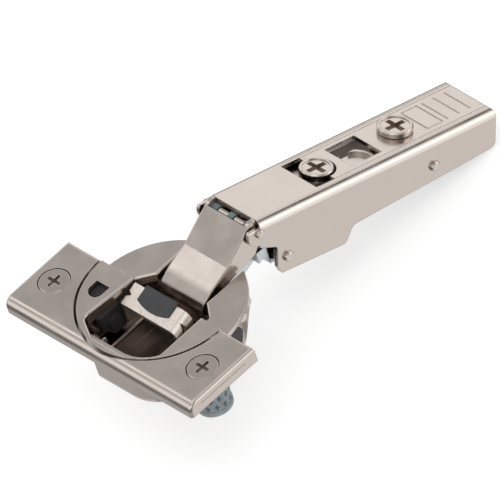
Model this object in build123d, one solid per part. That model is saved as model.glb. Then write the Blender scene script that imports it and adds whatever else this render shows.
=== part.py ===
from build123d import *
import os
from math import acos, atan2, cos, degrees, hypot, pi, radians, sin

# Concealed cup hinge with soft closing, opened to 110 degrees, in millimetres and degrees.
# The origin is the cup's centre on the face of the door. +Z points out of the door, +Y towards the arm.
# Side profiles are drawn in the YZ plane. Arm pieces are drawn level and then tilted by arm_tilt.

# Pivots of the four-bar linkage, as (y, z) at rest in the cup's frame
outer_cup_pivot = (8.69, -2.784)
outer_arm_pivot = (22.819, 6.28)
inner_cup_pivot = (11.861, -2.115)
inner_arm_pivot = (27.577, -4.823)
arm_tilt = 20.0
arm_swing_on_link = 21.12
inner_link_swing = 141.0

# Clearances
pin_clearance = 0.03
slide_clearance = 0.3
pin_relief = 0.15
seat_clearance = 0.05
cut_over = 1.0
cut_reach = 12.0

# Pins
outer_cup_pin_radius = 1.2
inner_cup_pin_radius = 1.0
outer_arm_pin_radius = 1.0
inner_arm_pin_radius = 1.15
rear_pin_radius = 1.15
cup_pin_stub = 0.4
cup_pin_stub_right = 1.9
arm_pin_stub = 0.75
pin_chamfer = 0.2

# Cup pressing
sheet = 1.0
disc_radius = 18.1
disc_lip = 0.7
lip_round = 0.6
cup_radius = disc_radius - disc_lip
cup_depth = 12.8
cup_collar = 1.0
cup_front_flat = 1.9
cup_rear_flat = 1.0
cup_left_flat = 4.0
cup_right_flat = 5.0
cup_front = cup_radius - cup_front_flat
cup_rear = cup_radius - cup_rear_flat
cup_left = cup_radius - cup_left_flat
cup_right = cup_radius - cup_right_flat
cup_shoulder = 8.0
cup_rear_half = 8.7
cup_slope = 46.0
cup_slope_front = 7.5
cup_bottom_round = 2.0
cup_side_round = 2.5
cup_front_round = 10.0
wing_rear = 2.0
slot_half_width = 7.5
slot_mouth_half_width = 10.6
slot_mouth_rear = 1.6
slot_neck_rear = 5.4
rear_notch_depth = 4.6
shelf_edge = 8.15
shelf_depth = 7.5
shelf_round = 0.8

# Wing plate and centre cover
plate_half_length = 28.1
plate_arc_gap = 0.4
plate_arc_radius = disc_radius + plate_arc_gap
plate_band = 0.8
plate_front = plate_arc_radius + plate_band
plate_rear = 0.3
plate_top = 3.8
plate_sheet = 0.9
plate_front_round = 2.3
plate_edge_round = 0.7
plate_line_length = 13.0
wing_end_inset = 2.1
wing_front_inset = 2.3
wing_half_length = plate_half_length - wing_end_inset
wing_front = plate_front - wing_front_inset
screw_boss_wall = 0.9
cover_inset = 0.2
cover_radius = disc_radius - cover_inset
cover_top = 3.77
cover_edge_round = 0.5
cover_front_rim = 1.5
cover_opening_front = cover_radius - cover_front_rim
cover_opening_left = 9.6
cover_opening_left_rear = 8.25
cover_opening_right = 12.0
cover_corner_x = 4.2
cover_corner_right_x = 6.9
cover_corner_left_y = 3.0
cover_corner_right_y = 3.6
cover_corner_round = 1.8
window_front = 8.3
window_rear = 4.3
window_inset = 3.2
window_width = 3.85
window_outer = cover_radius - window_inset
window_inner = window_outer - window_width
window_corner = 1.3
window_slant = 0.6
window_round = 1.4
window_rear_round = 0.2
slit_width = 0.15
slit_rear = 1.6

# Fixing screws and expanding dowels
fixing_inset = 5.6
fixing_x = plate_half_length - fixing_inset
fixing_y = (plate_rear - plate_front) / 2
screw_shank_radius = 1.7
screw_head_radius = 3.5
screw_ring_radius = 3.65
screw_reach = 6.8
wing_hole_clearance = 0.2
drive_width = 0.8
drive_span = 3.6
drive_depth = 1.5
dowel_radius = 4.0
dowel_length = 7.8
dowel_rim = 1.6
dowel_tip_chamfer = 0.4
dowel_pocket_count = 12
dowel_pocket_rows = 3
dowel_pocket_depth = 0.9
dowel_rib = 0.35

# Soft-close switch, damper and activation lever
slider_thickness = 1.5
slider_margin = 0.7
slider_rib_count = 6
slider_rib = 0.25
slider_rib_length = 4.6
damper_inner_face = 8.55
damper_front = 10.9
damper_rear = 3.6
damper_low = 6.2
damper_foot = (-7.5, -6.2)
damper_boss = (-6.9, -2.7)
damper_boss_radius = 1.8
damper_boss_height = 0.5
housing_thickness = 2.5
housing_front = 7.5
housing_rear = 7.8
housing_waist = -5.2
housing_top = -3.0
housing_bottom = -10.2
housing_slope = 1.9
housing_chamfer = 0.7
lever_half_width = 7.9
lever_right = 8.9
lever_rear = 0.15
lever_length = 5.3
lever_top = 3.05
lever_slope = 20.3
lever_sheet = 0.8
lever_skirt = 7.4
lever_low = -1.6
lever_notch = (1.1, 2.4)
lever_notch_y = -2.4
lever_bend = 2.0
lever_score_x = 7.1
lever_score = 0.1
pad_half_width = 4.7
pad_length = 4.0
pad_height = 0.25
pad_overhang = 0.7
pad_bow_radius = 11.2
rivet_radius = 0.9
rivet_inset = 2.75
rivet_place = (-10.2, -6.6)

# Outer link, a folded sheet
link_sheet = 1.1
link_half_width = 6.6
link_boss_radius = 2.05
link_ear_radius = 2.6
link_web = [(4.11, -2.33), (4.3, -1.5), (5.2, -0.2), (8.2, 1.55), (13.45, 3.44), (21.32, 8.41)]
link_low_rear = (21.1, 0.8)
link_low_front = (14.9, 0.0)
link_fold_radii = [0, 0.4, 1.0, 12.0, 2.0, 0]
link_edge_round = 0.5
link_top_gap = 0.12

# Inner link, a casting that widens from the cup to the arm
inner_half_width = 4.6
inner_eye_radius = 1.85
inner_knee_front = (16.4, -2.7)
inner_knee_rear = (24.2, 0.4)
inner_knee_front_radius = 1.6
inner_knee_rear_radius = 1.9
inner_arm_eye_radius = 3.1
open_pivot_radius = 2.2
open_pivot_shift = (-0.4, 0.537)
cheek_half_width = 6.3
cheek_rear = 24.2
cheek_top = 0.3
cheek_front = 21.4

# Arm channel, in the arm's own level frame
arm_half_width = 7.9
arm_sheet = 1.0
arm_top = 16.2
arm_bend = 1.9
arm_inner_bend = 0.5
arm_front = 19.6
arm_rear = 86.4
arm_ear_radius = 3.05
arm_low = 1.25
arm_nose = 24.8
arm_hump_rear = 44.2
arm_rear_low = 7.2
arm_mid_low = 5.1
arm_mid = 53.8
side_screw_y = 42.8
slot_front = 37.8
slot_rear = 47.0
slot_half = 5.4
slot_rear_round = 4.1
window_y = (49.0, 57.4)
window_half = 4.25
depth_screw_y = 65.1
ladder_front = 70.6
ladder_box = 4.3
ladder_lines = (76.4, 79.6, 82.7)
ladder_half = 4.0
groove_width = 0.3
groove_depth = 0.15
line_width = 0.12
line_depth = 0.08
line_front = 38.5
line_places = (-6.0, -5.2, 5.5)
rear_relief = 0.5
rear_relief_half = 6.2

# Adjusting screws, carrier and clip
side_head_radius = 3.7
side_head_top = 16.75
side_head_height = 2.2
side_neck_radius = 3.0
side_shank_radius = 2.0
side_shank_low = 8.0
depth_head_radius = 3.85
depth_head_height = 1.45
depth_neck_radius = 2.2
depth_disc_radius = 3.2
cam_offset = 1.0
cam_radius = 1.2
cam_slack = 0.12
cam_side_room = 0.6
cam_depth = 2.4
head_chamfer = 0.25
head_rim = 0.7
head_drive_span = 4.9
head_drive_width = 1.25
head_drive_depth = 1.6
carrier_top = 14.2
carrier_sheet = 1.0
carrier_front = 35.0
carrier_wall_rear = 63.5
carrier_rear = 68.2
carrier_low_front = 2.4
carrier_low_rear = 6.4
carrier_step = 46.5
hook_front = 38.4
hook_rear = 43.1
hook_low = -0.1
carrier_boss_wall = 1.6
carrier_boss_depth = 3.2
gap_front = 47.6
gap_rear = 60.5
gap_left = 5.4
gap_side = -1.6
gap_right = 5.0
rim_place = (2.2, 52.0)
rim_radius = 4.7
rim_wall = 0.7
rim_height = 0.85
rear_pin = (68.98, 9.62)
catch_half_width = 5.2
catch_hub = 2.3
catch_tail = 84.6
catch_sheet = 1.2
catch_plate_front = 5.0
catch_nose = (8.0, 0.6)
catch_nose_radius = 1.6
catch_toe = (-1.6, -3.4)
catch_toe_radius = 1.1
catch_tail_depth = 2.2
catch_drop = 0.2
clip_wire = 0.35
clip_leg = 4.8
wire_sides = 8
spring_wire = 0.35
spring_turns = 1.5
spring_leg = 6.0
spacer_radius = 1.3
spacer_width = 1.6
spacer_pitch = 4.7


def polar(centre, radius, angle):
    """Point at a distance and an angle from a centre."""
    return (centre[0] + radius * cos(radians(angle)), centre[1] + radius * sin(radians(angle)))


def to_arm(point):
    """A (y, z) point of the cup's frame, in the arm's level frame."""
    y, z = point
    c, s = cos(radians(arm_tilt)), sin(radians(arm_tilt))
    return (c * y - s * z, s * y + c * z)


def tilt(piece):
    """A piece drawn in the arm's level frame, put in the cup's frame."""
    return Rot(X=-arm_tilt) * piece


def side(face, x_from, x_to):
    """A side profile given as a face of (y, z), extruded across."""
    return extrude(Plane.YZ.offset(x_from) * face, amount=x_to - x_from)


def outline(*points):
    """A closed straight-sided face."""
    return make_face(Polyline(*points, close=True))


def rounded(points, radii):
    """A closed face whose corners have the given radii."""
    return make_face(FilletPolyline(*points, radius=radii, close=True))


def spot(point, radius):
    """A round face at a (y, z) point."""
    return Pos(point[0], point[1]) * Circle(radius)


def rod(point, radius, x_from, x_to):
    """A plain round rod across the hinge."""
    return side(spot(point, radius), x_from, x_to)


def pin(point, radius, x_from, x_to):
    """A rod with chamfered ends."""
    body = rod(point, radius, x_from, x_to)
    ends = body.edges().filter_by(GeomType.CIRCLE)
    return chamfer(ends, pin_chamfer)


def bar(start, start_radius, end, end_radius):
    """Two round ends and the straight flanks that touch both."""
    span = hypot(end[0] - start[0], end[1] - start[1])
    heading = degrees(atan2(end[1] - start[1], end[0] - start[0]))
    spread = degrees(acos((start_radius - end_radius) / span))
    flanks = outline(
        polar(start, start_radius, heading + spread),
        polar(start, start_radius, heading - spread),
        polar(end, end_radius, heading - spread),
        polar(end, end_radius, heading + spread),
    )
    return flanks + spot(start, start_radius) + spot(end, end_radius)


def wedge(centre, radius, start, end):
    """A four-sided wedge between two angles."""
    return outline(centre, *[polar(centre, radius, angle) for angle in (start, (start + end) / 2, end)])


def parallel(points, gap):
    """A polyline beside another one, on its right-hand side, with mitred corners."""
    beside = []
    headings = [atan2(b[1] - a[1], b[0] - a[0]) for a, b in zip(points, points[1:])]
    for index, point in enumerate(points):
        before = headings[max(index - 1, 0)]
        after = headings[min(index, len(headings) - 1)]
        middle = (before + after) / 2
        reach = gap / cos((after - before) / 2)
        beside.append((point[0] + reach * sin(middle), point[1] - reach * cos(middle)))
    return beside


def slab(x_from, x_to, y_from, y_to, z_from, z_to):
    """A box between two corners."""
    box = Box(x_to - x_from, y_to - y_from, z_to - z_from, align=(Align.MIN, Align.MIN, Align.MIN))
    return Pos(x_from, y_from, z_from) * box


def post(x, y, radius, z_from, z_to):
    """An upright round post."""
    return Pos(x, y, z_from) * Cylinder(radius, z_to - z_from, align=(Align.CENTER, Align.CENTER, Align.MIN))


def cross_drive(x, y, top, span, width, depth):
    """A cross recess for a driver, as the solid to be cut away."""
    slot = slab(x - span / 2, x + span / 2, y - width / 2, y + width / 2, top - depth, top + depth)
    turned = slab(x - width / 2, x + width / 2, y - span / 2, y + span / 2, top - depth, top + depth)
    return slot + turned


arm_pivot_level = to_arm(outer_arm_pivot)
arm_low_pivot_level = to_arm(inner_arm_pivot)


def cup_plan():
    """Plan of the drawn cup: flat sides, one wide front corner and a narrower rear."""
    points = [
        (-cup_left, -cup_front),
        (cup_right, -cup_front),
        (cup_right, cup_shoulder),
        (cup_rear_half, cup_rear),
        (-cup_rear_half, cup_rear),
        (-cup_left, cup_shoulder),
    ]
    side_round = cup_side_round
    radii = [side_round, cup_front_round, side_round, side_round, side_round, side_round]
    return rounded(points, radii) & Circle(cup_radius)


def rear_wedge(inset):
    """Everything below the cup's sloping rear, or below its cavity's when inset by the sheet."""
    slope = radians(cup_slope)
    start = (cup_slope_front - inset * sin(slope), -cup_depth + inset * cos(slope))
    low = polar(start, cut_reach, 180 + cup_slope)
    high = polar(start, 2 * cut_reach, cup_slope)
    return side(outline(low, high, (high[0], low[1])), -2 * cut_reach, 2 * cut_reach)


def make_hinge_cup():
    """Disc, wings and drawn cup, pressed from one sheet."""
    wings = slab(-wing_half_length, wing_half_length, -wing_front, -wing_rear, 0, sheet)
    wings = fillet(wings.edges().filter_by(Axis.Z), sheet)
    disc = post(0, 0, disc_radius, 0, sheet)
    collar = post(0, 0, cup_radius, -cup_collar, 0)
    plan = cup_plan()
    inner_plan = offset(plan, amount=-sheet)
    body = extrude(plan, amount=-cup_depth)
    body = fillet(body.faces().sort_by(Axis.Z)[0].edges(), cup_bottom_round) - rear_wedge(0)
    floor = -cup_depth + sheet
    room = extrude(Pos(0, 0, floor) * inner_plan, amount=-cup_collar - floor)
    room = fillet(room.faces().sort_by(Axis.Z)[0].edges(), cup_bottom_round - sheet) - rear_wedge(sheet)
    shelf = slab(-cup_radius, -shelf_edge, -cup_radius, cup_radius, -cup_depth, -shelf_depth)
    shelf_brink = shelf.faces().sort_by(Axis.X)[-1].edges().sort_by(Axis.Z)[-1]
    room -= fillet(shelf_brink, shelf_round)
    mouth = outline(
        (-slot_mouth_half_width, -cup_front),
        (cup_right, -cup_front),
        (cup_right, slot_mouth_rear),
        (slot_half_width, slot_neck_rear),
        (-slot_half_width, slot_neck_rear),
        (-slot_mouth_half_width, slot_mouth_rear),
    )
    slot_length = disc_radius + cut_over - slot_neck_rear
    slot = Pos(0, slot_neck_rear + slot_length / 2) * Rectangle(2 * slot_half_width, slot_length)
    mouth = (mouth & inner_plan) + slot
    shell = wings + disc + collar + body
    shell -= room
    shell -= extrude(Pos(0, 0, -cup_collar) * mouth, amount=cup_collar + sheet)
    shell -= slab(-slot_half_width, slot_half_width, cup_slope_front, disc_radius, -rear_notch_depth, sheet)
    lips = shell.edges().filter_by_position(Axis.Z, sheet - seat_clearance, sheet + seat_clearance)
    lips = lips.filter_by_position(Axis.X, -slot_mouth_half_width, cup_right)
    lips = lips.filter_by_position(Axis.Y, slot_mouth_rear, disc_radius - cut_over)
    shell = fillet(lips.filter_by(GeomType.LINE), lip_round)
    shell -= rod(outer_cup_pivot, outer_cup_pin_radius + pin_clearance, -cup_radius, cup_radius)
    shell -= rod(inner_cup_pivot, inner_cup_pin_radius + pin_clearance, -cup_radius, cup_radius)
    for x in (-fixing_x, fixing_x):
        shell -= post(x, fixing_y, screw_shank_radius + wing_hole_clearance, 0, sheet)
    return shell


def cover_opening():
    """Opening of the centre cover, seen from above."""
    beyond = plate_rear + cut_over
    points = [
        (-cover_opening_left_rear, beyond),
        (-cover_opening_left, -cover_opening_front + cover_corner_left_y),
        (-cover_corner_x, -cover_opening_front),
        (cover_corner_right_x, -cover_opening_front),
        (cover_opening_right, -cover_opening_front + cover_corner_right_y),
        (cover_opening_right, beyond),
    ]
    corner = cover_corner_round
    return rounded(points, [0, corner, corner, corner, corner, 0])


def window_face(margin):
    """Switch window, or the slider's outline when a margin is given."""
    points = [
        (-window_outer - margin, -window_rear + margin),
        (-window_outer - margin, -window_front + window_corner),
        (-window_outer + window_corner, -window_front - margin),
        (-window_inner - window_slant, -window_front - margin),
        (-window_inner + margin, -window_front + window_corner),
        (-window_inner + margin, -window_rear + margin),
    ]
    front = window_round
    return rounded(points, [window_rear_round, front, front, front, front, window_rear_round])


def cover_half(radius, rear):
    """The part of a round plate in front of its straight rear edge."""
    return Circle(radius) & Pos(0, rear - 2 * radius) * Rectangle(4 * radius, 4 * radius)


def make_cover_plate():
    """Centre cover: a D-shaped pan with its rim turned down onto the disc."""
    face = cover_half(cover_radius, plate_rear) - cover_opening()
    pan = extrude(Pos(0, 0, sheet) * face, amount=cover_top - sheet)
    lip = pan.faces().sort_by(Axis.Z)[-1].edges()
    lip = lip.filter_by_position(Axis.Y, -cover_opening_front - seat_clearance, plate_rear - seat_clearance)
    pan = fillet(lip, cover_edge_round)
    inner = cover_half(cover_radius - sheet, plate_rear - sheet) - offset(cover_opening(), amount=sheet)
    pan -= extrude(Pos(0, 0, sheet) * inner, amount=cover_top - 2 * sheet)
    pan -= extrude(Pos(0, 0, cover_top - 2 * sheet) * window_face(0), amount=3 * sheet)
    slit_length = window_rear - slit_rear
    for x in (-window_outer, -window_inner):
        pan -= Pos(x, -slit_rear - slit_length / 2, cover_top) * Box(slit_width, slit_length, 2 * slit_width)
    return pan


def make_wing_plate():
    """Wing plate: a long pan with a rolled front and a round gap for the cover."""
    outer = slab(-plate_half_length, plate_half_length, -plate_front, plate_rear, 0, plate_top)
    top_edges = outer.faces().sort_by(Axis.Z)[-1].edges()
    front_edge = top_edges.sort_by(Axis.Y)[0]
    outer = fillet(front_edge, plate_front_round)
    rest = outer.faces().sort_by(Axis.Z)[-1].edges()
    outer = fillet(rest.sort_by(Axis.Y)[1:], plate_edge_round)
    inner = slab(
        -plate_half_length + plate_sheet,
        plate_half_length - plate_sheet,
        -plate_front + plate_sheet,
        plate_rear - plate_sheet,
        0,
        plate_top - plate_sheet,
    )
    inner_front_edge = inner.faces().sort_by(Axis.Z)[-1].edges().sort_by(Axis.Y)[0]
    inner = fillet(inner_front_edge, plate_front_round - plate_sheet)
    plate = outer - inner
    for x in (-fixing_x, fixing_x):
        plate += post(x, fixing_y, screw_ring_radius + screw_boss_wall, sheet, plate_top - plate_sheet / 2)
        plate -= post(x, fixing_y, screw_ring_radius, 0, plate_top + cut_over)
    plate -= post(0, 0, plate_arc_radius, -cut_over, plate_top + cut_over)
    for end in (-1, 1):
        line = Box(2 * groove_depth, plate_line_length, groove_width)
        plate -= Pos(end * plate_half_length, fixing_y, plate_top / 2) * line
    return plate


def make_fixing_screw(x):
    """Countersunk-look screw with a flat head and a cross drive."""
    head = post(x, fixing_y, screw_head_radius, sheet, plate_top)
    head = chamfer(head.faces().sort_by(Axis.Z)[-1].edges(), 0.2)
    shank = post(x, fixing_y, screw_shank_radius, -screw_reach, sheet)
    tip = shank.faces().sort_by(Axis.Z)[0].edges()
    shank = chamfer(tip, screw_shank_radius / 2)
    return head + shank - cross_drive(x, fixing_y, plate_top, drive_span, drive_width, drive_depth)


def vee_groove(half_w, half_h, hand):
    """One of the two crossing grooves that leave a pyramid-shaped pocket."""
    lean = hand * atan2(half_h, half_w)
    reach = half_w * half_h / hypot(half_w, half_h)
    spread = 1.6
    along = Plane(origin=(0, 0, 0), x_dir=(-sin(lean), cos(lean), 0), z_dir=(cos(lean), sin(lean), 0))
    rise = (spread - 1) * dowel_pocket_depth
    vee = outline((0, -dowel_pocket_depth), (spread * reach, rise), (-spread * reach, rise))
    return extrude(along * vee, amount=dowel_radius, both=True)


def make_dowel(x):
    """Expanding dowel with rows of diamond pockets between crossing ribs and a plain rim."""
    rim = post(x, fixing_y, dowel_radius, -dowel_length, -dowel_length + dowel_rim)
    rim = chamfer(rim.faces().sort_by(Axis.Z)[0].edges(), dowel_tip_chamfer)
    height = (dowel_length - dowel_rim) / dowel_pocket_rows
    flat = dowel_radius * cos(pi / dowel_pocket_count)
    lattice = extrude(RegularPolygon(dowel_radius, dowel_pocket_count), amount=-dowel_length + dowel_rim)
    dowel = rim + Pos(x, fixing_y, 0) * lattice
    width = 2 * pi * dowel_radius / dowel_pocket_count
    half_w = width / 2 - dowel_rib
    half_h = height / 2 - dowel_rib / 2
    pocket = vee_groove(half_w, half_h, 1) & vee_groove(half_w, half_h, -1)
    for row in range(dowel_pocket_rows):
        z = -(row + 0.5) * height
        for step in range(dowel_pocket_count):
            angle = 360 / dowel_pocket_count * (step + 0.5 * (row % 2))
            seat = Pos(x, fixing_y, z) * Rot(Z=angle) * Pos(flat, 0, 0)
            dowel -= seat * Rot(Y=90) * Rot(Z=90) * pocket
    return dowel - post(x, fixing_y, screw_shank_radius + seat_clearance, -dowel_length + sheet, 0)


def make_switch_slider():
    """Ribbed slider under the window, which turns the soft closing on and off."""
    face = window_face(slider_margin) & Circle(cover_radius - sheet - slide_clearance)
    low = sheet + seat_clearance
    slider = extrude(Pos(0, 0, low) * face, amount=slider_thickness)
    pitch = (window_front - window_rear) / slider_rib_count
    middle = -(window_outer + window_inner) / 2
    for index in range(slider_rib_count):
        y = -window_rear - (index + 0.5) * pitch
        slider -= Pos(middle, y, low + slider_thickness) * Box(slider_rib_length, slider_rib, slider_rib)
    return slider


def make_damper():
    """Damper body on the cup's left wall, with a round boss on its inner face."""
    above = sheet + cut_over
    points = [
        (-damper_front, above),
        (-damper_front + damper_boss_height, -damper_low / 2),
        damper_foot,
        (-damper_rear - damper_boss_height, -damper_low),
        (-damper_rear, -damper_low / 2),
        (-damper_rear - damper_boss_height, above),
    ]
    corner = damper_boss_radius / 2
    face = rounded(points, [0, corner, corner, corner, corner, 0])
    body = side(face, -cup_left + sheet + seat_clearance, -damper_inner_face)
    inner_edges = body.faces().sort_by(Axis.X)[-1].edges()
    body = chamfer(inner_edges.filter_by_position(Axis.Z, -damper_low - cut_over, 0), damper_boss_height)
    low = slab(-cup_left, 0, -cup_front, 0, -shelf_depth, -cup_collar - seat_clearance)
    shoulder_left = -slot_mouth_half_width + slide_clearance
    shoulder = slab(shoulder_left, 0, -cup_front, 0, -cup_collar - cut_over, sheet - seat_clearance)
    boss = rod(damper_boss, damper_boss_radius, -damper_inner_face, -damper_inner_face + damper_boss_height)
    return (body & (low + shoulder)) + boss


def make_damper_housing():
    """Moulded housing on the outside of the cup's right wall, cut back below."""
    x_from = cup_right + seat_clearance
    points = [
        (-housing_front, housing_top),
        (housing_rear - housing_slope, housing_top),
        (housing_rear, housing_waist),
        (housing_rear - housing_slope, housing_bottom),
        (-housing_front, housing_bottom),
    ]
    corner = 2 * housing_chamfer
    body = side(rounded(points, [corner, corner, corner, corner, corner]), x_from, x_from + housing_thickness)
    return chamfer(body.faces().sort_by(Axis.X)[-1].edges(), housing_chamfer)


def lever_blank(skirt):
    """The lever's side profile: a sloping top over a deep skirt."""
    rear = (lever_rear, lever_top)
    front = polar(rear, lever_length, 180 + lever_slope)
    return outline(rear, front, (front[0], lever_top - skirt), (rear[0], lever_top - skirt))


def bent_lever(skirt, x_from, x_to, bend):
    """The lever's profile extruded across, with its right-hand top edge bent down."""
    body = side(lever_blank(skirt), x_from, x_to)
    brink = body.faces().sort_by(Axis.X)[-1].edges().sort_by(Axis.Z)[-1]
    return fillet(brink, bend)


def make_activation_lever():
    """Sprung lever plate with a skirt each side, which the closing link pushes down."""
    skin = bent_lever(lever_skirt, -lever_half_width, lever_right, lever_bend)
    inner_left = -lever_half_width + lever_sheet
    inner_right = lever_right - lever_sheet
    hollow = bent_lever(lever_skirt + cut_over, inner_left, inner_right, lever_bend - lever_sheet)
    lever = skin - Pos(0, 0, -lever_sheet / cos(radians(lever_slope))) * hollow
    low = lever_top - lever_skirt - cut_over
    lever -= slab(inner_left, inner_right, -2 * lever_length, lever_rear + cut_over, low, lever_low)
    deep, wide = lever_notch
    for x, inward in ((-lever_half_width, deep), (lever_right, -deep)):
        outside = x - inward / deep * cut_over
        rear_y, front_y = lever_notch_y + wide / 2, lever_notch_y - wide / 2
        notch = outline((outside, rear_y), (x + inward, lever_notch_y), (outside, front_y))
        lever -= extrude(Pos(0, 0, lever_low) * notch, amount=cut_reach)
    tilted = Pos(lever_score_x, lever_rear, lever_top) * Rot(X=lever_slope)
    return lever - tilted * Box(lever_score, 2 * cut_reach, 2 * lever_score)


def make_lever_pad():
    """Plastic buffer on top of the lever, with an overhanging rear edge and a bowed front."""
    tilted = Pos(0, lever_rear, lever_top) * Rot(X=lever_slope)
    high = seat_clearance + pad_height
    top = slab(-pad_half_width, pad_half_width, -pad_length, pad_overhang, seat_clearance, high)
    bow = post(0, -pad_length + pad_bow_radius, pad_bow_radius, -cut_over, cut_over)
    return (tilted * top) & (tilted * bow)


def make_damper_rivet():
    """Round-headed rivet on the cup's left wall."""
    x = -cup_left + rivet_inset
    shank = rod(rivet_place, rivet_radius / 2, -cup_left + sheet + seat_clearance, x)
    head = rod(rivet_place, rivet_radius, x, x + rivet_radius)
    return shank + chamfer(head.faces().sort_by(Axis.X)[-1].edges(), rivet_radius / 3)


def make_outer_link():
    """Outer link: web and two flanges folded from one sheet."""
    a1, a2, b1 = outer_cup_pivot, outer_arm_pivot, inner_cup_pivot
    inner_web = parallel(link_web, link_sheet)
    flange = [
        inner_web[-1],
        polar(a2, link_ear_radius, 60),
        polar(a2, link_ear_radius, -30),
        link_low_rear,
        link_low_front,
        (b1[0] - 0.95, b1[1] + 1.5),
        polar(a1, link_boss_radius, 40),
        a1,
        polar(a1, link_boss_radius, -110),
        (inner_web[0][0], inner_web[0][1] - 0.9),
    ]
    face = rounded(link_web + flange, link_fold_radii + [0] * len(flange))
    face += spot(a1, link_boss_radius) + spot(a2, link_ear_radius)
    link = side(face, -link_half_width, link_half_width)
    web_faces = link.faces().filter_by(lambda f: f.normal_at().Y < -0.1 and f.normal_at().Z > 0.1)
    folds = web_faces.edges().filter_by(lambda e: abs(e.center().X) > link_half_width - seat_clearance)
    link = fillet(folds, link_edge_round)
    far = (a2[0] + cut_reach, -cut_reach)
    end_y, end_z = inner_web[-1]
    lift = cut_reach / link_sheet
    over = (end_y + (link_web[-1][0] - end_y) * lift, end_z + (link_web[-1][1] - end_z) * lift)
    corners = [over, (far[0], over[1]), far, (inner_web[0][0], far[1])]
    room = rounded(inner_web + corners, link_fold_radii + [0] * len(corners))
    link -= side(room, -link_half_width + link_sheet, link_half_width - link_sheet)
    under = arm_top - arm_sheet - link_top_gap
    front = arm_front - slide_clearance
    ceiling = slab(-cut_reach, cut_reach, front, front + cut_reach, under, under + cut_reach)
    ceiling = Pos(0, -arm_pivot_level[0], -arm_pivot_level[1]) * ceiling
    steps = 4
    for step in range(steps):
        angle = -arm_swing_on_link * step / (steps - 1)
        link -= tilt(Pos(0, *arm_pivot_level) * Rot(X=angle) * ceiling)
    link -= rod(a1, outer_cup_pin_radius + pin_clearance, -cut_reach, cut_reach)
    link -= rod(a2, outer_arm_pin_radius + pin_clearance, -cut_reach, cut_reach)
    return link


def cup_pin_relief():
    """Room that the outer cup pin needs beside the inner link's eye, as the inner link swings shut."""
    a1, b1 = outer_cup_pivot, inner_cup_pivot
    spacing = hypot(a1[0] - b1[0], a1[1] - b1[1])
    reach = outer_cup_pin_radius + pin_relief
    rest_angle = degrees(atan2(a1[1] - b1[1], a1[0] - b1[0])) % 360
    shut_angle = rest_angle - inner_link_swing
    far = 2 * (spacing + reach)
    middle_angle = shut_angle + inner_link_swing / 2
    sector = wedge(b1, far, shut_angle, middle_angle) + wedge(b1, far, middle_angle, rest_angle)
    ring = spot(b1, spacing + reach) - spot(b1, inner_eye_radius)
    return (ring & sector) + spot(polar(b1, spacing, shut_angle), reach)


def make_inner_link():
    """Inner link: a casting with an oversize eye where the closed linkage is opened."""
    b1, b2 = inner_cup_pivot, inner_arm_pivot
    eye = (b2[0] + open_pivot_shift[0], b2[1] + open_pivot_shift[1])
    face = bar(b1, inner_eye_radius, inner_knee_front, inner_knee_front_radius)
    face += bar(inner_knee_front, inner_knee_front_radius, inner_knee_rear, inner_knee_rear_radius)
    face += bar(inner_knee_rear, inner_knee_rear_radius, eye, inner_arm_eye_radius)
    face -= cup_pin_relief()
    link = side(face, -inner_half_width, inner_half_width)
    cheek = outline(
        (cheek_front, cheek_top),
        (cheek_front, -cut_reach),
        (cheek_rear, -cut_reach),
        (cheek_rear, cheek_top),
    )
    link += side(face & cheek, -cheek_half_width, cheek_half_width)
    link -= rod(b1, inner_cup_pin_radius + pin_clearance, -cut_reach, cut_reach)
    link -= rod(eye, open_pivot_radius, -cut_reach, cut_reach)
    return link


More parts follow.
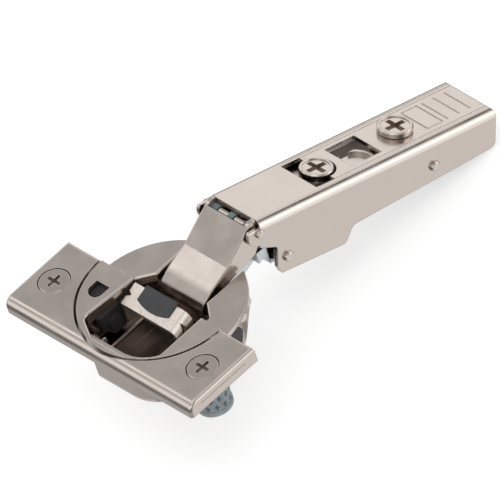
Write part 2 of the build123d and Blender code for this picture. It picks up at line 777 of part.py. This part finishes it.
def make_arm_channel():
    """Arm: a folded channel with a shaped lower edge, ears at the nose and a pierced top."""
    reach = arm_half_width
    section = Pos(0, arm_top / 2) * Rectangle(2 * reach, arm_top)
    section = fillet(section.vertices().sort_by(Axis.Y)[-2:], arm_bend)
    hollow_height = arm_top - arm_sheet
    hollow = Pos(0, hollow_height / 2) * Rectangle(2 * (reach - arm_sheet), hollow_height)
    hollow = fillet(hollow.vertices().sort_by(Axis.Y)[-2:], arm_inner_bend)
    profile = Plane(origin=(0, arm_rear, 0), x_dir=(1, 0, 0), z_dir=(0, -1, 0)) * (section - hollow)
    channel = extrude(profile, amount=arm_rear - arm_front / 2)
    side_face = rounded(
        [
            (arm_front, arm_top),
            (arm_rear, arm_top),
            (arm_rear, arm_rear_low),
            (arm_mid + 22, arm_rear_low - 0.8),
            (arm_mid, arm_mid_low),
            (arm_hump_rear + 2, arm_mid_low - 0.5),
            (arm_hump_rear, arm_low - 0.3),
            (arm_nose + 1.2, arm_low),
            (arm_nose, arm_low + 2),
            (arm_nose - 0.2, arm_ear_radius + 5.2),
            (arm_front, arm_pivot_level[1] - arm_ear_radius - 0.6),
        ],
        [0, 1.0, 1.4, 2, 4, 1.6, 1.0, 0.8, 1.0, 0.8, 0],
    )
    ear = spot(arm_pivot_level, arm_ear_radius) - Pos(arm_pivot_level[0], arm_top) * Rectangle(12, 2.8)
    side_face += ear
    channel &= side(side_face, -reach - cut_over, reach + cut_over)
    channel -= rod(arm_pivot_level, outer_arm_pin_radius + pin_clearance, -cut_reach, cut_reach)
    channel -= rod(arm_low_pivot_level, inner_arm_pin_radius + pin_clearance, -cut_reach, cut_reach)
    channel -= rod(rear_pin, rear_pin_radius + pin_clearance, -cut_reach, cut_reach)
    low, high = arm_top - 2 * arm_sheet, arm_top + cut_over
    slot_end = slot_rear - slot_rear_round
    slot = slab(-slot_half, slot_half, slot_front, slot_end, low, high)
    slot += post(0, slot_end, slot_rear_round, low, high)
    channel -= slot
    channel -= slab(-window_half, window_half, window_y[0], window_y[1], low, high)
    channel -= post(0, depth_screw_y, depth_neck_radius + seat_clearance, low, high)
    relief_front = arm_rear - rear_relief
    channel -= slab(-rear_relief_half, rear_relief_half, relief_front, arm_rear + cut_over, low, high)
    for y in (ladder_front, ladder_front + ladder_box, *ladder_lines):
        channel -= Pos(0, y, arm_top) * Box(2 * ladder_half, groove_width, 2 * groove_depth)
    line_length = arm_rear - line_front
    for x in line_places:
        line = Box(line_width, line_length, 2 * line_depth)
        channel -= Pos(x, line_front + line_length / 2, arm_top) * line
    for x in (-ladder_half, ladder_half):
        groove = Box(groove_width, ladder_box, 2 * groove_depth)
        channel -= Pos(x, ladder_front + ladder_box / 2, arm_top) * groove
    return tilt(channel)


def make_inner_carrier():
    """Carrier inside the arm: it hooks on the mounting plate and holds the side screw."""
    half = arm_half_width - arm_sheet - slide_clearance
    roof = slab(-half, half, carrier_front, carrier_rear, carrier_top - carrier_sheet, carrier_top)
    wall_face = rounded(
        [
            (carrier_front, carrier_top),
            (carrier_wall_rear, carrier_top),
            (carrier_wall_rear, carrier_low_rear),
            (carrier_step + 1, carrier_low_rear),
            (carrier_step - 1, carrier_low_front),
            (hook_rear, carrier_low_front),
            (hook_rear, hook_low),
            (hook_front, hook_low),
            (hook_front, carrier_low_front),
            (carrier_front, carrier_low_front),
        ],
        [0, 0, 1.0, 1.0, 0.8, 0.3, 0.4, 0.4, 0.3, 1.0],
    )
    carrier = roof
    carrier += side(wall_face, -half, -half + carrier_sheet)
    carrier += side(wall_face, half - carrier_sheet, half)
    boss_low = carrier_top - carrier_boss_depth
    carrier += post(0, side_screw_y, side_shank_radius + carrier_boss_wall, boss_low, carrier_top)
    carrier -= post(0, side_screw_y, side_shank_radius + pin_clearance, 0, arm_top)
    rim_x, rim_y = rim_place
    rim_top = carrier_top + rim_height
    rim = post(rim_x, rim_y, rim_radius, carrier_top - carrier_sheet, rim_top)
    rim -= post(rim_x, rim_y, rim_radius - rim_wall, carrier_top, rim_top)
    carrier += rim & slab(-half, half, carrier_front, carrier_rear, 0, arm_top)
    low = carrier_top - carrier_boss_depth
    carrier -= slab(-gap_left, gap_side, gap_front, gap_rear, low, arm_top)
    carrier -= slab(-gap_left, gap_right, rim_y + rim_radius, gap_rear, low, arm_top)
    reach = cam_radius + cam_offset + cam_side_room
    slot_length = cam_slack + cam_radius
    carrier -= slab(-reach, reach, depth_screw_y - slot_length, depth_screw_y + slot_length, 0, arm_top)
    return tilt(carrier)


def make_side_screw():
    """Side adjusting screw, threaded in the carrier."""
    y, top = side_screw_y, side_head_top
    screw = post(0, y, side_head_radius, top - side_head_height, top)
    screw = chamfer(screw.edges().filter_by(GeomType.CIRCLE), head_chamfer)
    screw += post(0, y, side_neck_radius, carrier_top + seat_clearance, top - side_head_height)
    screw += post(0, y, side_shank_radius, side_shank_low, carrier_top + seat_clearance)
    screw -= post(0, y, side_head_radius - head_rim, top - head_chamfer, top + cut_over)
    screw -= cross_drive(0, y, top - head_chamfer, head_drive_span, head_drive_width, head_drive_depth)
    return tilt(screw)


def make_depth_screw():
    """Depth adjusting screw: head, neck, retaining disc and cam pin in one piece."""
    y, low = depth_screw_y, arm_top + seat_clearance
    top = low + depth_head_height
    screw = post(0, y, depth_head_radius, low, top)
    screw = chamfer(screw.edges().filter_by(GeomType.CIRCLE), head_chamfer)
    screw += post(0, y, depth_neck_radius, arm_top - arm_sheet - seat_clearance, low)
    disc_low = carrier_top + seat_clearance
    screw += post(0, y, depth_disc_radius, disc_low, arm_top - arm_sheet - seat_clearance)
    screw += post(cam_offset, y, cam_radius, carrier_top - cam_depth, disc_low)
    screw -= post(0, y, depth_head_radius - head_rim, top - head_chamfer, top + cut_over)
    screw -= cross_drive(0, y, top - head_chamfer, head_drive_span, head_drive_width, head_drive_depth)
    return tilt(screw)


def make_clip_catch():
    """Rear catch that snaps the arm on the mounting plate: a bent lever on the rear pin."""
    y, z = rear_pin
    half = catch_half_width
    cheek = bar(rear_pin, catch_hub, (y + catch_nose[0], z + catch_nose[1]), catch_nose_radius)
    cheek += bar(rear_pin, catch_hub, (y + catch_toe[0], z + catch_toe[1]), catch_toe_radius)
    catch = side(cheek, -half, -half + catch_sheet)
    catch += side(cheek, half - catch_sheet, half)
    plate_low = z - catch_drop
    catch += slab(-half, half, y + catch_plate_front, catch_tail, plate_low, plate_low + catch_sheet)
    catch += slab(-half, half, catch_tail - catch_sheet, catch_tail, z - catch_tail_depth, z)
    catch -= rod(rear_pin, rear_pin_radius + pin_clearance, -cut_reach, cut_reach)
    return tilt(catch)


def make_clip_spring():
    """Small torsion spring on the rear pin, between the catch's cheeks."""
    radius = rear_pin_radius + seat_clearance + clip_wire
    height = spring_turns * 2.2 * clip_wire
    coil_path = Helix(2.2 * clip_wire, height, radius)
    start = coil_path @ 0
    section = Plane(origin=start, z_dir=coil_path % 0) * RegularPolygon(clip_wire, wire_sides)
    coil = sweep(section, path=coil_path)
    coil = Pos(-height / 2, *rear_pin) * Rot(Y=90) * Rot(Z=180) * coil
    leg = Cylinder(clip_wire, clip_leg, align=(Align.CENTER, Align.CENTER, Align.MIN))
    leg = Pos(-height / 2, rear_pin[0], rear_pin[1] + radius) * Rot(X=-90) * leg
    return tilt(coil + leg)


def make_closing_spring():
    """Strong double torsion spring on the lower arm pin, one coil each side of the inner link."""
    point = arm_low_pivot_level
    radius = inner_arm_pin_radius + seat_clearance + spring_wire
    pitch = 2.15 * spring_wire
    height = spring_turns * pitch
    bridge_y = point[0] + spring_leg
    bridge_z = point[1] + radius
    legs = []
    for end in (-1, 1):
        path = Helix(pitch, height, radius, lefthand=end < 0)
        section = Plane(origin=path @ 0, z_dir=path % 0) * RegularPolygon(spring_wire, wire_sides)
        coil = sweep(section, path=path)
        x = end * (inner_half_width + slide_clearance + spring_wire)
        turn = Rot(Y=90) * Rot(Z=180) if end > 0 else Rot(Y=-90)
        coil = Pos(x, *point) * turn * coil
        leg = Cylinder(spring_wire, spring_leg, align=(Align.CENTER, Align.CENTER, Align.MIN))
        legs.append(coil + Pos(x, point[0], bridge_z) * Rot(X=-90) * leg)
    spring = legs[0] + legs[1]
    reach = inner_half_width + slide_clearance + 2 * spring_wire
    spring += rod((bridge_y, bridge_z), spring_wire, -reach, reach)
    return tilt(spring)


def make_spacers():
    """Three spacer rings on the front arm pin."""
    rings = []
    for index in (-1, 0, 1):
        x = index * spacer_pitch
        ring = rod(arm_pivot_level, spacer_radius, x - spacer_width / 2, x + spacer_width / 2)
        ring -= rod(arm_pivot_level, outer_arm_pin_radius + pin_clearance, x - spacer_width, x + spacer_width)
        rings.append(tilt(ring))
    return Compound(children=rings)


arm_pin_reach = arm_half_width + arm_pin_stub
cup_pin_left = -cup_left - cup_pin_stub
cup_pin_right = cup_right + cup_pin_stub

nodes = {
    "hinge_cup": make_hinge_cup(),
    "cover_plate": make_cover_plate(),
    "wing_plate": make_wing_plate(),
    "fixing_screw_left": make_fixing_screw(-fixing_x),
    "fixing_screw_right": make_fixing_screw(fixing_x),
    "dowel_left": make_dowel(-fixing_x),
    "dowel_right": make_dowel(fixing_x),
    "switch_slider": make_switch_slider(),
    "damper": make_damper(),
    "damper_housing": make_damper_housing(),
    "damper_rivet": make_damper_rivet(),
    "activation_lever": make_activation_lever(),
    "lever_pad": make_lever_pad(),
    "outer_cup_pin": pin(outer_cup_pivot, outer_cup_pin_radius, cup_pin_left, cup_right + cup_pin_stub_right),
    "inner_cup_pin": pin(inner_cup_pivot, inner_cup_pin_radius, cup_pin_left, cup_pin_right),
    "outer_link": make_outer_link(),
    "inner_link": make_inner_link(),
    "outer_arm_pin": tilt(pin(arm_pivot_level, outer_arm_pin_radius, -arm_pin_reach, arm_pin_reach)),
    "inner_arm_pin": tilt(pin(arm_low_pivot_level, inner_arm_pin_radius, -arm_pin_reach, arm_pin_reach)),
    "rear_pin": tilt(pin(rear_pin, rear_pin_radius, -arm_pin_reach, arm_pin_reach)),
    "pivot_spacers": make_spacers(),
    "closing_spring": make_closing_spring(),
    "arm_channel": make_arm_channel(),
    "inner_carrier": make_inner_carrier(),
    "side_screw": make_side_screw(),
    "depth_screw": make_depth_screw(),
    "clip_catch": make_clip_catch(),
    "clip_spring": make_clip_spring(),
}

os.makedirs("parts", exist_ok=True)
for name, shape in nodes.items():
    export_step(shape, "parts/" + name + ".step")
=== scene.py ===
import math

import bpy
from mathutils import Matrix, Vector


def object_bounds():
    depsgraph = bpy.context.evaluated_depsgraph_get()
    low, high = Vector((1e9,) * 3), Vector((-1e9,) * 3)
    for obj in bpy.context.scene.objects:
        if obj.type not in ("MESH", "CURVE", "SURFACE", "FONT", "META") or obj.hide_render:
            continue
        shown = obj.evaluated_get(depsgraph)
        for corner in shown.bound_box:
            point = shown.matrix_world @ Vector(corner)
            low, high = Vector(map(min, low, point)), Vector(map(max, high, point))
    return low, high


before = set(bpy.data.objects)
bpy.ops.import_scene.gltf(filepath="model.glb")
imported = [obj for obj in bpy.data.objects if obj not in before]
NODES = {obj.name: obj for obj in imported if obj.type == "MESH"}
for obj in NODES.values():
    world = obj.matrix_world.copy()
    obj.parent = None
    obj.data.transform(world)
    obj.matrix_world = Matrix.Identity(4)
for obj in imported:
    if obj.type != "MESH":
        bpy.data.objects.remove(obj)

cad_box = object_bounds()
MM = 0.001

# Camera as fitted to the photograph: the view's right, up and backward directions
VIEW_RIGHT = Vector((0.6832, 0.6911, -0.2358))
VIEW_UP = Vector((-0.3957, 0.6218, 0.6758))
VIEW_BACK = Vector((0.6137, -0.3684, 0.6983))
CENTRE_RIGHT = 17.756 * MM
CENTRE_UP = 11.930 * MM
VIEW_WIDTH = 103.52 * MM
VIEW_DISTANCE = 0.4
VIEW_REACH = 10.0

# Pale floor below the hinge
FLOOR_DROP = 1.0 * MM
FLOOR_REACH = 2.0
FLOOR_GREY = 0.60
FLOOR_GLOW = 0.60

# The arm and its carrier slope down to the rear by this angle
ARM_TILT = 20.0

# Painted shade in the hollows, darkening the plating where shade falls inside: centre and half size in
# millimetres, tilt in degrees, painted shade colour
CUP_PAINTED_SHADE = ((0, -1.4, -8.0), (11.9, 12.4, 7.9), 0.0, (0.34, 0.285, 0.25))
ARM_PAINTED_SHADE = ((0, 53.0, 6.9), (7.15, 40.0, 8.4), ARM_TILT, (0.10, 0.078, 0.068))
CARRIER_PAINTED_SHADE = ((0, 53.0, 3.6), (5.9, 40.0, 10.35), ARM_TILT, (0.10, 0.078, 0.068))
PAINTED_SHADE_FADE_MM = 0.15

# How far colour and roughness wander on each kind of surface
METAL_SHADE_VARY = 0.04
METAL_ROUGH_VARY = 0.06
PLASTIC_SHADE_VARY = 0.12
PLASTIC_ROUGH_VARY = 0.07

# Rays that find the sharp edges, which the materials soften by shading alone
EDGE_SAMPLES = 4

# Nodes that take each material
NODES_OF = {
    "nickel_plated_steel": ["hinge_cup", "cover_plate", "wing_plate", "outer_link"],
    "arm_steel": ["arm_channel"],
    "speckled_steel": ["activation_lever"],
    "carrier_steel": ["inner_carrier", "clip_catch"],
    "pin_steel": [
        "outer_cup_pin", "inner_cup_pin", "outer_arm_pin", "inner_arm_pin", "rear_pin", "damper_rivet",
    ],
    "screw_steel": ["fixing_screw_left", "fixing_screw_right", "side_screw", "depth_screw"],
    "spring_steel": ["closing_spring", "clip_spring"],
    "zinc_casting": ["inner_link"],
    "grey_plastic": ["dowel_left", "dowel_right", "pivot_spacers"],
    "black_plastic": ["switch_slider", "damper", "damper_housing"],
    "pad_plastic": ["lever_pad"],
}

# Studio surround: brightness by height of the direction, 0 straight down and 1 straight up
SURROUND = [
    (0.0, 0.90), (0.14, 0.88), (0.18, 0.42), (0.36, 0.20), (0.46, 0.55), (0.51, 1.50), (0.67, 1.60),
    (0.74, 1.05), (0.80, 0.66), (0.90, 0.68), (0.95, 1.20), (1.0, 1.30),
]
SURROUND_TOP = 2.0
SURROUND_LEAST = 0.08

# Softboxes and dark flags of the surround: direction, half angle in degrees, brightness added
PANELS = [
    ((0.75, 0.62, -0.18), 32, 1.50),
    ((-0.25, 0.82, 0.50), 10, 0.50),
    ((0.12, 0.83, 0.54), 10, -1.60),
    ((0.95, 0.10, 0.25), 24, -0.90),
    ((-0.61, -0.23, 0.75), 9, 1.20),
]
PANEL_OUTER = 1.25
PANEL_INNER = 0.75


def add_camera():
    """Parallel camera at the photograph's angle."""
    data = bpy.data.cameras.new("camera")
    data.type = "ORTHO"
    data.ortho_scale = VIEW_WIDTH
    data.clip_end = VIEW_REACH
    camera = bpy.data.objects.new("camera", data)
    place = VIEW_RIGHT * CENTRE_RIGHT + VIEW_UP * CENTRE_UP + VIEW_BACK * VIEW_DISTANCE
    turn = Matrix((VIEW_RIGHT, VIEW_UP, VIEW_BACK)).transposed().to_4x4()
    camera.matrix_world = Matrix.Translation(place) @ turn
    bpy.context.scene.collection.objects.link(camera)
    bpy.context.scene.camera = camera


class Shader:
    """Short hand for building one node material."""

    def __init__(self, name):
        self.material = bpy.data.materials.new(name)
        self.material.use_nodes = True
        self.tree = self.material.node_tree
        self.base = self.tree.nodes["Principled BSDF"]
        coord = self.tree.nodes.new("ShaderNodeTexCoord")
        self.place = coord.outputs["Object"]

    def fixed(self, **values):
        for name, value in values.items():
            self.base.inputs[name.replace("_", " ")].default_value = value

    def link(self, source, target):
        self.tree.links.new(source, self.base.inputs[target])

    def add(self, kind, inputs, **settings):
        """A node with its settings, its inputs linked to a socket or set to a value."""
        made = self.tree.nodes.new(kind)
        for name, value in settings.items():
            setattr(made, name, value)
        for name, value in inputs.items():
            if isinstance(value, bpy.types.NodeSocket):
                self.tree.links.new(value, made.inputs[name])
            else:
                made.inputs[name].default_value = value
        return made

    def math(self, operation, first, second=0.0, third=0.0):
        made = self.add("ShaderNodeMath", {0: first, 1: second, 2: third}, operation=operation)
        return made.outputs[0]

    def noise(self, size_mm, detail, rough=0.55):
        values = {
            "Vector": self.place,
            "Scale": 1.0 / (size_mm * MM),
            "Detail": detail,
            "Roughness": rough,
        }
        return self.add("ShaderNodeTexNoise", values).outputs["Fac"]

    def spread(self, source, low, high, first=0.3, last=0.7):
        """Maps the source from first..last to low..high."""
        values = {"Value": source, "From Min": first, "From Max": last, "To Min": low, "To Max": high}
        return self.add("ShaderNodeMapRange", values).outputs[0]

    def colours(self, source, stops):
        """Colour ramp over the source, with as many stops as are given."""
        made = self.add("ShaderNodeValToRGB", {"Fac": source})
        elements = made.color_ramp.elements
        while len(elements) < len(stops):
            elements.new(0.5)
        for element, (position, colour) in zip(elements, stops):
            element.position = position
            element.color = (*colour, 1.0)
        return made.outputs["Color"]

    def blend(self, factor, first, second):
        """Mixes a linked colour into a fixed one by the factor."""
        made = self.tree.nodes.new("ShaderNodeMix")
        made.data_type = "RGBA"
        factor_in, first_in, second_in = made.inputs[0], made.inputs[6], made.inputs[7]
        self.tree.links.new(factor, factor_in)
        self.tree.links.new(first, first_in)
        second_in.default_value = (*second, 1.0)
        return made.outputs[2]

    def edges(self, radius_mm):
        """Normals that soften the sharp edges, so that they catch the light."""
        values = {"Radius": radius_mm * MM}
        return self.add("ShaderNodeBevel", values, samples=EDGE_SAMPLES).outputs["Normal"]

    def grain(self, height, strength, depth_mm, edge_mm):
        """Fine relief from the height, on top of the softened edges."""
        values = {
            "Height": height,
            "Strength": strength,
            "Distance": depth_mm * MM,
            "Normal": self.edges(edge_mm),
        }
        self.link(self.add("ShaderNodeBump", values).outputs["Normal"], "Normal")


def tone(colour, factor):
    return tuple(min(1.0, value * factor) for value in colour)


def mottle(colour, vary):
    """Two stops of a colour ramp, a little darker and a little lighter than the colour."""
    return [(0.35, tone(colour, 1 - vary)), (0.65, tone(colour, 1 + vary))]


def inside(made, centre, half_size, tilt_deg):
    """One inside a box given in millimetres, in axes tilted about x, and zero outside it."""
    turn = (math.radians(tilt_deg), 0, 0)
    turned = made.add("ShaderNodeMapping", {"Vector": made.place, "Rotation": turn})
    split = made.add("ShaderNodeSeparateXYZ", {0: turned.outputs[0]})
    mask = None
    for axis, middle, half in zip("XYZ", centre, half_size):
        off = made.math("ABSOLUTE", made.math("SUBTRACT", split.outputs[axis], middle * MM))
        fade_start = (half - PAINTED_SHADE_FADE_MM) * MM
        fade_end = (half + PAINTED_SHADE_FADE_MM) * MM
        edge = made.spread(off, 1.0, 0.0, fade_start, fade_end)
        mask = edge if mask is None else made.math("MULTIPLY", mask, edge)
    return mask


def metal(name, colour, rough, grain_mm, grain_strength, painted_shade=None):
    """Plated or bare metal: a fine grain in its relief and gentle mottling of colour and gloss, with
    painted shade darkening its hollows where one is given.
    """
    made = Shader(name)
    made.fixed(Metallic=1.0)
    broad = made.noise(size_mm=6.0, detail=4.0)
    fine = made.noise(size_mm=grain_mm, detail=3.0)
    both = made.math("MULTIPLY_ADD", broad, 0.5, made.math("MULTIPLY", fine, 0.5))
    shade = made.colours(both, mottle(colour, METAL_SHADE_VARY))
    if painted_shade:
        centre, half_size, tilt_deg, painted_shade_colour = painted_shade
        # Painted shade: inside the box the plating's colour turns to the dark shade colour, standing in
        # for shade in the hollow.
        shade = made.blend(inside(made, centre, half_size, tilt_deg), shade, painted_shade_colour)
    made.link(shade, "Base Color")
    made.link(made.spread(broad, rough - METAL_ROUGH_VARY, rough + METAL_ROUGH_VARY), "Roughness")
    made.grain(fine, grain_strength, depth_mm=0.02, edge_mm=0.22)
    return made.material


def speckled_metal(name, colour, rough):
    """Sheet with a fine tumbled speckle."""
    made = Shader(name)
    made.fixed(Metallic=1.0)
    spots = made.noise(size_mm=0.16, detail=2.0, rough=0.7)
    stains = made.noise(size_mm=1.4, detail=4.0)
    mixed = made.math("MULTIPLY_ADD", stains, 0.35, made.math("MULTIPLY", spots, 0.65))
    stops = [(0.36, tone(colour, 0.72)), (0.5, tone(colour, 0.95)), (0.62, tone(colour, 1.08))]
    made.link(made.colours(mixed, stops), "Base Color")
    made.link(made.spread(spots, rough + 0.1, rough - 0.08), "Roughness")
    made.grain(spots, 0.5, depth_mm=0.03, edge_mm=0.18)
    return made.material


def plastic(name, colour, rough, grain_mm, grain_strength):
    """Moulded plastic with a fine spark-eroded grain."""
    made = Shader(name)
    made.fixed(IOR=1.48)
    fine = made.noise(size_mm=grain_mm, detail=3.0, rough=0.65)
    broad = made.noise(size_mm=3.0, detail=3.0)
    made.link(made.colours(broad, mottle(colour, PLASTIC_SHADE_VARY)), "Base Color")
    made.link(made.spread(fine, rough - PLASTIC_ROUGH_VARY, rough + PLASTIC_ROUGH_VARY), "Roughness")
    made.grain(fine, grain_strength, depth_mm=0.04, edge_mm=0.15)
    return made.material


def all_materials():
    """The material of each slot: its kind, colour, roughness, grain size and strength, and the painted
    shade of its hollows.
    """
    nickel = (0.585, 0.520, 0.474)
    looks = {
        "nickel_plated_steel": (metal, nickel, 0.24, 0.10, 0.03, CUP_PAINTED_SHADE),
        "arm_steel": (metal, nickel, 0.24, 0.12, 0.03, ARM_PAINTED_SHADE),
        "speckled_steel": (speckled_metal, (0.80, 0.72, 0.66), 0.36),
        "carrier_steel": (metal, (0.57, 0.52, 0.48), 0.25, 0.10, 0.08, CARRIER_PAINTED_SHADE),
        "pin_steel": (metal, (0.60, 0.54, 0.49), 0.15, 0.08, 0.08),
        "screw_steel": (metal, (0.56, 0.50, 0.455), 0.16, 0.08, 0.08),
        "spring_steel": (metal, (0.45, 0.43, 0.41), 0.28, 0.08, 0.1),
        "zinc_casting": (metal, (0.60, 0.63, 0.66), 0.36, 0.3, 0.2),
        "grey_plastic": (plastic, (0.20, 0.235, 0.245), 0.42, 0.15, 0.15),
        "black_plastic": (plastic, (0.030, 0.027, 0.029), 0.45, 0.10, 0.25),
        "pad_plastic": (plastic, (0.050, 0.052, 0.056), 0.62, 0.14, 0.5),
    }
    return {slot: kind(slot, *values) for slot, (kind, *values) in looks.items()}


def dress_nodes():
    """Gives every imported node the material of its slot."""
    for slot, material in all_materials().items():
        for name in NODES_OF[slot]:
            mesh = NODES[name].data
            mesh.materials.clear()
            mesh.materials.append(material)


def add_world():
    """Soft studio surround that the metal mirrors: bands by height, with softboxes and dark flags."""
    world = bpy.data.worlds.new("studio")
    world.use_nodes = True
    bpy.context.scene.world = world
    tree = world.node_tree
    tree.nodes.clear()

    def math_node(operation):
        made = tree.nodes.new("ShaderNodeMath")
        made.operation = operation
        return made

    way = tree.nodes.new("ShaderNodeTexCoord").outputs["Generated"]
    split = tree.nodes.new("ShaderNodeSeparateXYZ")
    tree.links.new(way, split.inputs[0])
    height = math_node("MULTIPLY_ADD")
    height.inputs[1].default_value = 0.5
    height.inputs[2].default_value = 0.5
    tree.links.new(split.outputs["Z"], height.inputs[0])
    ramp = tree.nodes.new("ShaderNodeFloatCurve")
    tree.links.new(height.outputs[0], ramp.inputs["Value"])
    curve = ramp.mapping.curves[0]
    while len(curve.points) < len(SURROUND):
        curve.points.new(0.5, 0.5)
    for point, (place, value) in zip(curve.points, SURROUND):
        point.location = (place, value / SURROUND_TOP)
        point.handle_type = "VECTOR"
    ramp.mapping.update()
    total = math_node("MULTIPLY")
    total.inputs[1].default_value = SURROUND_TOP
    tree.links.new(ramp.outputs[0], total.inputs[0])
    for direction, half_angle, gain in PANELS:
        near = tree.nodes.new("ShaderNodeVectorMath")
        near.operation = "DOT_PRODUCT"
        near.inputs[1].default_value = Vector(direction).normalized()
        tree.links.new(way, near.inputs[0])
        patch = tree.nodes.new("ShaderNodeMapRange")
        patch.interpolation_type = "SMOOTHSTEP"
        patch.inputs["From Min"].default_value = math.cos(math.radians(half_angle * PANEL_OUTER))
        patch.inputs["From Max"].default_value = math.cos(math.radians(half_angle * PANEL_INNER))
        tree.links.new(near.outputs["Value"], patch.inputs["Value"])
        more = math_node("MULTIPLY_ADD")
        more.inputs[1].default_value = gain
        tree.links.new(patch.outputs[0], more.inputs[0])
        tree.links.new(total.outputs[0], more.inputs[2])
        total = more
    least = math_node("MAXIMUM")
    least.inputs[1].default_value = SURROUND_LEAST
    tree.links.new(total.outputs[0], least.inputs[0])
    back = tree.nodes.new("ShaderNodeBackground")
    tree.links.new(least.outputs[0], back.inputs["Strength"])
    out = tree.nodes.new("ShaderNodeOutputWorld")
    tree.links.new(back.outputs[0], out.inputs["Surface"])


def add_area(name, direction, distance, size, power):
    """A square soft light that faces the hinge."""
    data = bpy.data.lights.new(name, "AREA")
    data.size = size
    data.energy = power
    lamp = bpy.data.objects.new(name, data)
    away = Vector(direction).normalized()
    turn = away.to_track_quat("Z", "Y").to_matrix().to_4x4()
    lamp.matrix_world = Matrix.Translation(away * distance) @ turn
    bpy.context.scene.collection.objects.link(lamp)


def add_floor():
    """Plain pale floor below the hinge, clear when seen from below."""
    low = cad_box[0][2] - FLOOR_DROP
    sides = [(-1, -1), (1, -1), (1, 1), (-1, 1)]
    corners = [(x * FLOOR_REACH, y * FLOOR_REACH, low) for x, y in sides]
    mesh = bpy.data.meshes.new("floor")
    mesh.from_pydata(corners, [], [(0, 1, 2, 3)])
    floor = bpy.data.objects.new("floor", mesh)
    bpy.context.scene.collection.objects.link(floor)
    made = Shader("floor_pale")
    made.fixed(
        Base_Color=(FLOOR_GREY, FLOOR_GREY, FLOOR_GREY, 1.0),
        Roughness=0.9,
        Emission_Color=(1.0, 1.0, 1.0, 1.0),
        Emission_Strength=FLOOR_GLOW,
        Specular_IOR_Level=0.0,
    )
    from_below = made.add("ShaderNodeNewGeometry", {}).outputs["Backfacing"]
    clear = made.add("ShaderNodeBsdfTransparent", {}).outputs[0]
    either = made.add("ShaderNodeMixShader", {0: from_below, 1: made.base.outputs[0], 2: clear})
    surface = made.tree.nodes["Material Output"].inputs["Surface"]
    made.tree.links.new(either.outputs[0], surface)
    mesh.materials.append(made.material)
    floor.visible_glossy = False


add_camera()
bpy.context.scene.view_settings.view_transform = "Standard"
add_world()
add_area("key_light", (0.4, -0.3, 1.0), distance=0.6, size=0.35, power=0.22)
add_area("front_light", (0.6, -1.0, 0.5), distance=0.6, size=0.3, power=0.12)
add_floor()
dress_nodes()
